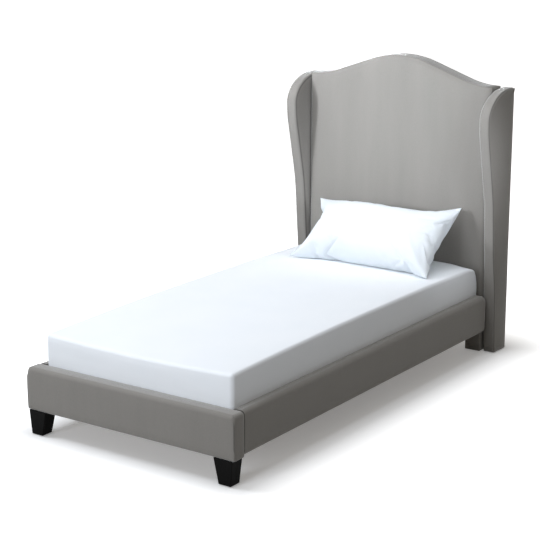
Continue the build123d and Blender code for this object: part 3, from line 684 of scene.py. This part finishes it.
def wing_pad(side):
    """Padded wing: a boxing strip round its front and top, a soft inner rim and a crisper outer one."""
    low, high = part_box("wing_cover_right")
    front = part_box("headboard_cover")[0].y
    rail_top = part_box("side_rail_cover_right")[1].z
    rows, backs = wing_rows(low, high, front, rail_top)
    middle = (low.x + high.x) / 2
    half = (high.x - low.x) / 2
    bm = bmesh.new()
    seam_shading = bm.verts.layers.float.new("shaded_seam")
    ripple_depth, ripple_size, ripple_seed = WING_RIPPLE
    for face_way, radius, shaded_seam in WING_FACES:
        near = [radius * (1 - math.cos(math.radians(angle))) for angle in WING_RIM_ANGLES]
        near += [radius + beyond for beyond in WING_RIM_LOOPS]
        columns = 2 * len(near) + WING_MIDDLE_COLUMNS
        grid = bmesh.ops.create_grid(bm, x_segments=columns - 1, y_segments=len(rows) - 1, size=1)["verts"]
        for vert in grid:
            column = round((vert.co.x + 1) / 2 * (columns - 1))
            row = round((vert.co.y + 1) / 2 * (len(rows) - 1))
            (start, start_way), (end, end_way) = rows[row], backs[row]
            shrink = min(1, (end - start).length / (WING_NARROW_SHARE * near[-1]))
            mirrored = columns - 1 - column
            if column < len(near):
                place, deep = start + start_way * near[column] * shrink, near[column] * shrink
            elif mirrored < len(near):
                place, deep = end + end_way * near[mirrored] * shrink, near[mirrored] * shrink
            else:
                share = (column - len(near) + 1) / (WING_MIDDLE_COLUMNS + 1)
                a, b = start + start_way * near[-1] * shrink, end + end_way * near[-1] * shrink
                place, deep = a.lerp(b, share), WING_MIDDLE_DEPTH
            grown = ease(rail_top, rail_top + LOW_RIM_RISE, place.z)
            turn = radius * (LOW_RIM_SHARE + (1 - LOW_RIM_SHARE) * grown)
            out = half
            if deep < turn:
                out -= turn - math.sqrt(turn ** 2 - (turn - deep) ** 2)
            out -= WING_DRAW * math.exp(-max(deep - radius, 0) / WING_FADE)
            # Seam columns: a groove, and painted shade in the fabric's colour along it.
            if column == shaded_seam or mirrored == shaded_seam:
                vert[seam_shading] = 1
                out -= SEAM_DEPTH
                place = place + (start_way if column == shaded_seam else end_way) * SEAM_SHIFT
            out += ripple_depth * ripple((0, place.y, place.z), ripple_size, ripple_seed + face_way)
            vert.co = Vector((middle + face_way * out, place.y, place.z))
    bmesh.ops.remove_doubles(bm, verts=bm.verts, dist=WELD)
    rims = [edge for edge in bm.edges if edge.is_boundary]
    bmesh.ops.bridge_loops(bm, edges=rims)
    strip = edges_at(
        bm, lambda mid, run: abs(run.x) > ALONG_AXIS and abs(mid.x - middle) < WING_STRIP_REACH)
    bmesh.ops.subdivide_edges(bm, edges=strip, cuts=4, use_grid_fill=True)
    drop_faces(bm, lambda mid, run: mid.z < low.z + AT_FACE)
    if side == "left":
        bmesh.ops.scale(bm, vec=(-1, 1, 1), verts=bm.verts)
    piece = finish_piece("wing_upholstery_" + side, bm, "frame", SUEDE, PAD_WALL)
    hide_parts("wing_cover_" + side, "wing_foam_" + side)
    return piece


# Rails

def side_rail_pad(side):
    """Padded side rail with a rolled top, a rounded head end, and its inner face left open."""
    low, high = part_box("side_rail_cover_right")
    turn_z = high.z - SIDE_COVER_TURN
    bm = block(low, high)

    def head_edges():
        return edges_at(bm, lambda mid, way: abs(way.x) > ALONG_AXIS and mid.y > high.y - AT_EDGE)

    top = [edge for edge in head_edges() if edge.verts[0].co.z > high.z - AT_EDGE]
    round_off(bm, top, SIDE_HEAD_RADIUS, segments=7)
    bottom = [edge for edge in head_edges() if edge.verts[0].co.z < low.z + AT_EDGE]
    round_off(bm, bottom, SIDE_HEAD_LOW_RADIUS, segments=5)
    outer_rims = edges_at(bm, lambda mid, way: mid.x > high.x - AT_EDGE and mid.y > low.y + AT_EDGE)
    round_off(bm, outer_rims, SIDE_RIM, segments=6)
    inner_rims = edges_at(
        bm, lambda mid, way: mid.x < low.x + AT_EDGE and mid.z > turn_z and mid.y > low.y + AT_EDGE)
    round_off(bm, inner_rims, SIDE_INNER_RIM, segments=3)
    # The end next to the foot rail gets painted shade up to here.
    slit_shade_end = low.y + SLIT_SHADE_WIDTH
    cut_across(bm, 1, [slit_shade_end - SLIT_STEP, slit_shade_end + SLIT_STEP] + spread(low.y, high.y, count=60))
    cut_across(bm, 2, [low.z + up for up in SIDE_UP_LOOPS] + [turn_z])
    cut_across(bm, 0, [low.x + across for across in SIDE_IN_LOOPS])
    drop_faces(bm, lambda mid, way: mid.x < low.x + AT_FACE and mid.z < turn_z)
    for vert in bm.verts:
        x, y, z = vert.co
        outer = ease(low.x + SIDE_FACE_START, high.x - SIDE_FACE_END, x)
        level = (z - low.z) / (high.z - low.z) * 2 - 1
        vert.co.x -= outer * (SIDE_ROLL * level ** 4 + dented(vert.co, "side_rail_face"))
        if z > high.z - TOP_BAND and abs(x - (low.x + high.x) / 2) < TOP_BAND_HALF:
            vert.co.z -= dented(vert.co, "side_rail_top")
    if side == "left":
        bmesh.ops.scale(bm, vec=(-1, 1, 1), verts=bm.verts)
    # Painted shade: the end next to the foot rail is darkened, standing in for the shade in the slit between
    # the rails.
    piece = finish_piece(
        "side_rail_upholstery_" + side, bm, "frame", SUEDE, FABRIC_WALL,
        seam_shading=lambda place: 1.0 if place.y < slit_shade_end else 0.0)
    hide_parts("side_rail_cover_" + side, "side_rail_foam_" + side)
    return piece


def foot_rail_pad():
    """Padded foot rail with mitred corners, crisp below, open at the back where the slat base is."""
    low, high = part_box("foot_rail_cover")
    bm = block(low, high)
    front = edges_at(bm, lambda mid, way: mid.y < high.y - AT_EDGE and mid.z > low.z + AT_EDGE)
    round_off(bm, front, FOOT_RIM, segments=8)
    bottom = edges_at(bm, lambda mid, way: mid.y < high.y - AT_EDGE and mid.z < low.z + AT_FACE)
    round_off(bm, bottom, FOOT_LOW_RIM, segments=3)
    round_off(bm, edges_at(bm, lambda mid, way: mid.y > high.y - AT_FACE), FOOT_BACK_RIM, segments=3)
    cut_across(bm, 0, spread(low.x + FOOT_RIM, high.x - FOOT_RIM, count=35))
    cut_across(bm, 2, spread(low.z + FOOT_LOW_RIM, high.z - FOOT_RIM, count=6))
    cut_across(bm, 1, [low.y + depth for depth in FOOT_IN_LOOPS])
    drop_faces(bm, lambda mid, way: mid.y > high.y - AT_FACE and abs(mid.x) < FOOT_WINDOW_HALF
               and low.z + FOOT_WINDOW_LOW < mid.z < high.z - FOOT_WINDOW_TOP)
    for vert in bm.verts:
        x, y, z = vert.co
        dx, dy = (abs(x) - (high.x - FOOT_RIM)) / FOOT_RIM, (low.y + FOOT_RIM - y) / FOOT_RIM
        if dx > 0 and dy > 0:
            squared = CORNER_SQUARE * (1 - ease(high.z - CORNER_TURN[0], high.z - CORNER_TURN[1], z))
            stretch = 1 + squared * (math.hypot(dx, dy) / max(dx, dy) - 1)
            vert.co.x = math.copysign(high.x - FOOT_RIM + dx * stretch * FOOT_RIM, x)
            vert.co.y = low.y + FOOT_RIM - dy * stretch * FOOT_RIM
        level = (z - low.z) / (high.z - low.z) * 2 - 1
        faced = 1 - ease(low.y, low.y + FOOT_FACE_DEPTH, y)
        vert.co.y += faced * (FOOT_ROLL * level ** 4 + dented(vert.co, "foot_rail_face"))
        if z > high.z - TOP_BAND:
            vert.co.z -= dented(vert.co, "foot_rail_top")

    # Painted shade: a thin dark line down each mitre, standing in for the shade in its seam.
    def corner_seam_shade(place):
        across, deep = abs(place.x) - (high.x - FOOT_RIM), low.y + FOOT_RIM - place.y
        on_seam = min(across, deep) > 0 and abs(across - deep) < CORNER_SHADE_HALF
        return CORNER_SEAM_SHADE if on_seam else 0.0

    piece = finish_piece(
        "foot_rail_upholstery", bm, "frame", SUEDE, FABRIC_WALL, seam_shading=corner_seam_shade)
    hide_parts("foot_rail_cover", "foot_rail_foam")
    return piece


# Bedding

def mattress_form(low, high, radii):
    """Soft block with rounded upright, top and bottom edges, and loops of points for its sag."""
    side, top, bottom = radii
    bm = block(low, high)
    round_off(bm, edges_at(bm, lambda mid, way: abs(way.z) > ALONG_AXIS), side, segments=8)
    round_off(bm, edges_at(bm, lambda mid, way: mid.z > high.z - AT_FACE), top, segments=6)
    round_off(bm, edges_at(bm, lambda mid, way: mid.z < low.z + AT_FACE), bottom, segments=4)
    cut_across(bm, 0, spread(low.x + side, high.x - side, count=21))
    cut_across(bm, 1, spread(low.y + side, high.y - side, count=45))
    cut_across(bm, 2, spread(low.z + bottom, high.z - top, count=6))
    return bm


def sag(place, middle_y, half_y, low_z, high_z):
    """How far the mattress and its sheet sit below the block at a place."""
    share = ease(low_z + SAG_START, high_z, place.z)
    along_bed = (place.y - middle_y) / half_y
    across = place.x / MATTRESS_HALF_WIDTH
    from_foot, from_head = place.y - (middle_y - half_y), place.y - (middle_y + half_y)
    dip = TOP_FALL * along_bed ** 2
    dip += FOOT_DIP * math.exp(-(from_foot / FOOT_DIP_LENGTH) ** 2) * (1 - across ** 2)
    dip += HEAD_DIP * math.exp(-(from_head / HEAD_DIP_LENGTH) ** 2)
    dip += dented(place, "mattress_top")
    return share * dip


def corner_pull(place, high):
    """How far a head corner is drawn in and down by the sheet's elastic at a place."""
    inwards, footwards, down = CORNER_PULL
    reach_across, reach_along, reach_down = CORNER_REACH
    near = ease(-reach_across, 0.0, abs(place.x) - high.x) * ease(-reach_along, 0.0, place.y - high.y)
    rise = min(max(1 - (high.z - place.z) / reach_down, 0), 1)
    way = Vector((math.copysign(inwards, -place.x), -footwards, -down))
    return way * near * (1 - math.sqrt(1 - rise ** 2))


def mattress():
    """Sprung mattress in its striped cloth, a hair under its sheet."""
    low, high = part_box("mattress")
    bm = mattress_form(low, high, MATTRESS_RADII)
    middle, half = (low.y + high.y) / 2, (high.y - low.y) / 2
    for vert in bm.verts:
        vert.co += corner_pull(vert.co, high)
        sunk = sag(vert.co, middle, half, low.z, high.z)
        vert.co.z -= sunk + TICKING_SINK * ease(low.z, high.z, vert.co.z)
    piece = finish_piece("mattress_body", bm, "mattress", TICKING)
    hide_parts("mattress")
    return piece


def fitted_sheet():
    """Stretched sheet, tucked under the mattress all round, with soft creases near its corners."""
    low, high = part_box("fitted_sheet")
    bm = mattress_form(low, high, SHEET_RADII)
    rail_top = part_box("foot_rail_cover")[1].z
    tuck_x, tuck_y = high.x - SHEET_TUCK, (high.y - low.y) / 2 - SHEET_TUCK
    middle, half = (low.y + high.y) / 2, (high.y - low.y) / 2
    cut_across(bm, 0, [-tuck_x, tuck_x])
    cut_across(bm, 1, [middle - tuck_y, middle + tuck_y])
    drop_faces(bm, lambda mid, way: mid.z < low.z + AT_FACE and abs(mid.x) < tuck_x
               and abs(mid.y - middle) < tuck_y)
    crease_low, crease_full = CREASE_START
    slant_x, slant_z = CREASE_SLANT
    for vert in bm.verts:
        x, y, z = vert.co
        vert.co += corner_pull(vert.co, high)
        vert.co.z -= sag(vert.co, middle, half, low.z, high.z)
        side = ease(low.z + crease_low, low.z + crease_full, z) * (1 - ease(high.z - crease_low, high.z, z))
        foot = ease(low.y + CREASE_REACH, low.y, y)
        clear = ease(rail_top, rail_top + CREASE_CLEAR, z)
        vert.co.y -= foot * side * clear * dented((x + slant_x * z, 0, z - slant_z * x), "sheet_foot")
        flank = ease(high.x - CREASE_REACH, high.x, abs(x))
        vert.co.x += math.copysign(flank * side * dented((0, y, z), "sheet_flank"), x)
    piece = finish_piece("fitted_cotton_sheet", bm, "mattress", COTTON, SHEET_WALL)
    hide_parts("fitted_sheet")
    return piece


def pillow_bag():
    """Two flat layers of cotton, a little apart, sewn along all four sides."""
    bm = bmesh.new()
    half_length, half_depth = PILLOW_BAG[0] / 2, PILLOW_BAG[1] / 2
    bmesh.ops.create_grid(bm, x_segments=92, y_segments=54, size=1)
    for vert in bm.verts:
        vert.co = Vector((vert.co.x * half_length, vert.co.y * half_depth, 0))
    layer = bmesh.ops.duplicate(bm, geom=bm.verts[:] + bm.edges[:] + bm.faces[:])
    under = {item for item in layer["geom"] if isinstance(item, bmesh.types.BMVert)}
    uneven, uneven_size, seed = PILLOW_UNEVEN
    for vert in bm.verts:
        x, y = vert.co.x / half_length, vert.co.y / half_depth
        lift = PILLOW_LOFT * (1 - x ** 4) * (1 - y ** 4) + uneven * ripple(vert.co, uneven_size, seed)
        vert.co.z = -lift if vert in under else lift
        if max(abs(x), abs(y)) > PILLOW_EDGE_SHARE:
            vert.co.z = 0
    bmesh.ops.remove_doubles(bm, verts=bm.verts, dist=PILLOW_SEAM_GAP)
    bmesh.ops.recalc_face_normals(bm, faces=bm.faces)
    hem = bm.verts.layers.float.new("left_hem")
    for vert in bm.verts:
        vert[hem] = ease(*HEM_ACROSS, -vert.co.x / half_length) * ease(*HEM_UP, vert.co.y / half_depth)
    return bm


def inflate(piece, pressure, frames):
    """Fills a closed bag with the cloth solver and applies the result."""
    scene = bpy.context.scene
    cloth = piece.modifiers.new("fill", "CLOTH")
    settings = cloth.settings
    settings.quality = 7
    settings.mass = 0.2
    settings.tension_stiffness = 18
    settings.compression_stiffness = 12
    settings.shear_stiffness = 4
    settings.bending_stiffness = 0.03
    settings.tension_damping = 12
    settings.air_damping = 4
    settings.use_pressure = True
    settings.uniform_pressure_force = pressure
    settings.effector_weights.gravity = 0
    cloth.collision_settings.use_self_collision = False
    scene.frame_start, scene.frame_end = 1, frames
    for index in range(1, frames + 1):
        scene.frame_set(index)
    graph = bpy.context.evaluated_depsgraph_get()
    filled = bpy.data.meshes.new_from_object(piece.evaluated_get(graph))
    piece.modifiers.clear()
    old = piece.data
    piece.data = filled
    bpy.data.meshes.remove(old)
    scene.frame_set(1)


def fold_height(across, up):
    """How far the folds raise the pillow's front at a place given in shares of its half sizes."""
    half_length, half_depth = PILLOW_BAG[0] / 2, PILLOW_BAG[1] / 2
    place = Vector((across * half_length, up * half_depth))
    total = 0
    for start, end, height, width in PILLOW_FOLDS:
        a = Vector((start[0] * half_length, start[1] * half_depth))
        run = Vector((end[0] * half_length, end[1] * half_depth)) - a
        share = (place - a).dot(run) / run.length_squared
        gap = (place - a - run * min(max(share, 0), 1)).length / width
        total += height * ease(-0.15, 0.3, share) * (1 - ease(0.7, 1.15, share)) * math.exp(-gap ** 2)
    return total


def pillow():
    """Stuffed pillow in its case: lies on the sheet, leans on the headboard, and is flat where it does."""
    low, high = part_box("pillow")
    piece = finish_piece("pillow_in_case", pillow_bag(), "pillow", SHADED_PILLOW_COTTON)
    inflate(piece, PILLOW_PRESSURE, PILLOW_FRAMES)
    bm = bmesh.new()
    bm.from_mesh(piece.data)
    corners = {}
    for side, end in PILLOW_CORNERS:
        corners[side, end] = max(bm.verts, key=lambda vert: side * vert.co.x + end * vert.co.y).co.copy()
    reach_x = sum(abs(place.x) for place in corners.values()) / len(corners)
    reach_y = sum(abs(place.y) for place in corners.values()) / len(corners)
    tilt = Matrix.Rotation(math.radians(PILLOW_TILT), 3, "X")
    middle = (low + high) / 2
    moves = {key: Vector(PILLOW_CORNERS[key]) - middle - tilt @ place for key, place in corners.items()}
    sheet_low, sheet_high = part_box("fitted_sheet")
    sheet_middle, sheet_half = (sheet_low.y + sheet_high.y) / 2, (sheet_high.y - sheet_low.y) / 2
    back_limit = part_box("headboard_cover")[0].y - TOUCH_GAP
    hem = bm.verts.layers.float["left_hem"]
    draw_left, draw_right, draw_top = PILLOW_DRAW
    for vert in bm.verts:
        vert.co.x -= vert[hem] * max(0, vert.co.x + reach_x + HEM_OUT)
        across = min(max(vert.co.x / reach_x, -1), 1)
        up = min(max(vert.co.y / reach_y, -1), 1)
        if vert.co.z > 0:
            for (share, start, full), where in ((THIN_RIGHT, across), (THIN_TOP, up)):
                vert.co.z *= 1 - share * ease(start, full, where)
            vert.co.z += fold_height(across, up) * ease(0, FOLD_START, vert.co.z)
        between_corners = 1 - up ** (2 if up > 0 else 4)
        vert.co.x += between_corners * (
            draw_left * ((1 - across) / 2) ** 3 - draw_right * ((1 + across) / 2) ** 3)
        vert.co.y -= (1 - across ** 4) * draw_top * ((1 + up) / 2) ** 3
        place = middle + tilt @ vert.co
        for (side, end), move in moves.items():
            place += move * (1 + side * across) * (1 + end * up) / 4
        flat_top = Vector((place.x, place.y, sheet_high.z))
        sheet_z = sheet_high.z - sag(flat_top, sheet_middle, sheet_half, sheet_low.z, sheet_high.z)
        place.z = max(place.z, sheet_z + TOUCH_GAP)
        place.y = min(place.y, back_limit)
        vert.co = place
    bm.verts.layers.float.remove(hem)
    bm.to_mesh(piece.data)
    bm.free()
    smoother = piece.modifiers.new("smooth", "SUBSURF")
    smoother.levels = smoother.render_levels = 1
    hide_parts("pillow")
    return piece


# Carried-over solids

def dress_nodes():
    """Finishes of the CAD nodes that stay."""
    pine = {
        axis: timber("pine_along_" + axis.lower(), axis, light=(0.66, 0.47, 0.27), dark=(0.50, 0.31, 0.15))
        for axis in "XYZ"}
    birch = layered("birch_slat", "Z", pitch=0.0016, light=(0.72, 0.55, 0.36), dark=(0.52, 0.36, 0.2))
    poplar_ply = layered(
        "poplar_plywood", "Y", pitch=0.0018, light=(0.64, 0.47, 0.29), dark=(0.42, 0.27, 0.15))
    feet, steel, plastic, lining = black_stained_wood(), zinc_steel(), black_plastic(), black_lining()
    finishes = [
        ("headboard_post", pine["Z"]), ("wing_core", pine["Z"]), ("headboard_ply", poplar_ply),
        ("headboard_back_panel", lining), ("headboard_", pine["X"]), ("side_rail_board", pine["Y"]),
        ("slat_ledge", pine["Y"]), ("foot_rail_board", pine["X"]), ("foot_left", feet), ("foot_right", feet),
        ("foot_bolts", steel), ("wing_bolts", steel), ("ledge_screws", steel), ("rail_b", steel),
        ("slat_caps", plastic), ("foot_glides", plastic), ("head_glides", plastic), ("slat_", birch)]
    for name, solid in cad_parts.items():
        if solid.hide_render:
            continue
        material = next((finish for start, finish in finishes if name.startswith(start)), None)
        if material:
            for place in solid.material_slots:
                place.material = material


# Studio

def floor_material():
    """Pale floor for the eye and darker for the light, with a painted glow that grows away from the bed's box
    and whitens the shadow there, leaving only the shadow close to the bed.
    """
    material = bpy.data.materials.new("pale_floor")
    material.use_nodes = True
    tree = material.node_tree
    tree.nodes.clear()
    seen = seen_directly(tree)
    lit = node(tree, "BsdfDiffuse", {"Color": blended(tree, seen, FLOOR_LIT_TONE, FLOOR_SEEN_TONE)})
    half_size = (cad_box[1] - cad_box[0]) / 2
    place = node(tree, "VectorMath", {0: mapped(tree)}, operation="ABSOLUTE").outputs[0]
    place = node(tree, "VectorMath", {
        0: place, 1: (half_size.x, half_size.y, 0)}, operation="SUBTRACT").outputs[0]
    place = node(tree, "VectorMath", {0: place, 1: (0, 0, 0)}, operation="MAXIMUM").outputs[0]
    distance = node(tree, "VectorMath", {0: place}, operation="LENGTH").outputs["Value"]
    # Painted light: glow for the eye, weak at the bed's box and full at its reach, which whitens the floor's
    # real shadow away from the bed.
    strength = between(tree, distance, *FLOOR_PAINTED_GLOW, at=(0.0, FLOOR_PAINTED_GLOW_REACH))
    painted_glow = node(tree, "Emission", {"Color": WHITE, "Strength": strength})
    both = node(tree, "AddShader", {0: lit.outputs[0], 1: painted_glow.outputs[0]})
    shown = node(tree, "MixShader", {0: seen, 1: lit.outputs[0], 2: both.outputs[0]})
    node(tree, "OutputMaterial", {"Surface": shown.outputs[0]})
    return material


def studio():
    """Pale floor that keeps the shadow near the bed under a painted glow, soft key light from the upper left,
    dim fill all round.
    """
    scene = bpy.context.scene
    bpy.ops.mesh.primitive_plane_add(size=FLOOR_SIZE, location=(0, 0, 0))
    floor = bpy.context.object
    floor.name = "studio_floor"
    floor.data.materials.append(floor_material())

    world = bpy.data.worlds.new("studio")
    scene.world = world
    world.use_nodes = True
    tree = world.node_tree
    tree.nodes.clear()
    fill = node(tree, "Background", {"Color": FILL_COLOR, "Strength": WORLD_FILL})
    white = node(tree, "Background", {"Color": WHITE, "Strength": 1.0})
    mixed = node(tree, "MixShader", {0: seen_directly(tree), 1: fill.outputs[0], 2: white.outputs[0]})
    node(tree, "OutputWorld", {"Surface": mixed.outputs[0]})

    for name, place, aim, size, spread_angle, power in LAMPS:
        light = bpy.data.lights.new(name, "AREA")
        light.shape = "DISK"
        light.size = size
        light.spread = math.radians(spread_angle)
        light.energy = power
        light.color = LAMP_COLOR
        lamp = bpy.data.objects.new(name, light)
        lamp.location = place
        lamp.rotation_euler = (Vector(aim) - Vector(place)).to_track_quat("-Z", "Y").to_euler()
        lamp.visible_camera = False
        scene.collection.objects.link(lamp)

    scene.view_settings.view_transform = "Standard"


def photo_camera():
    """Camera at the photograph's place, tilted down, with no roll and no shift."""
    camera = bpy.data.cameras.new("photo_camera")
    camera.sensor_width = SENSOR_WIDTH
    camera.lens = CAMERA_LENS
    camera.clip_end = CAMERA_REACH
    holder = bpy.data.objects.new("photo_camera", camera)
    holder.location = CAMERA_PLACE
    holder.rotation_euler = (math.radians(90 - CAMERA_TILT), 0, math.radians(CAMERA_TURN))
    bpy.context.scene.collection.objects.link(holder)
    bpy.context.scene.camera = holder


photo_camera()
studio()
headboard_pad()
for bed_side in ("left", "right"):
    leg_sleeve(bed_side)
    wing_pad(bed_side)
    side_rail_pad(bed_side)
foot_rail_pad()
mattress()
fitted_sheet()
pillow()
dress_nodes()
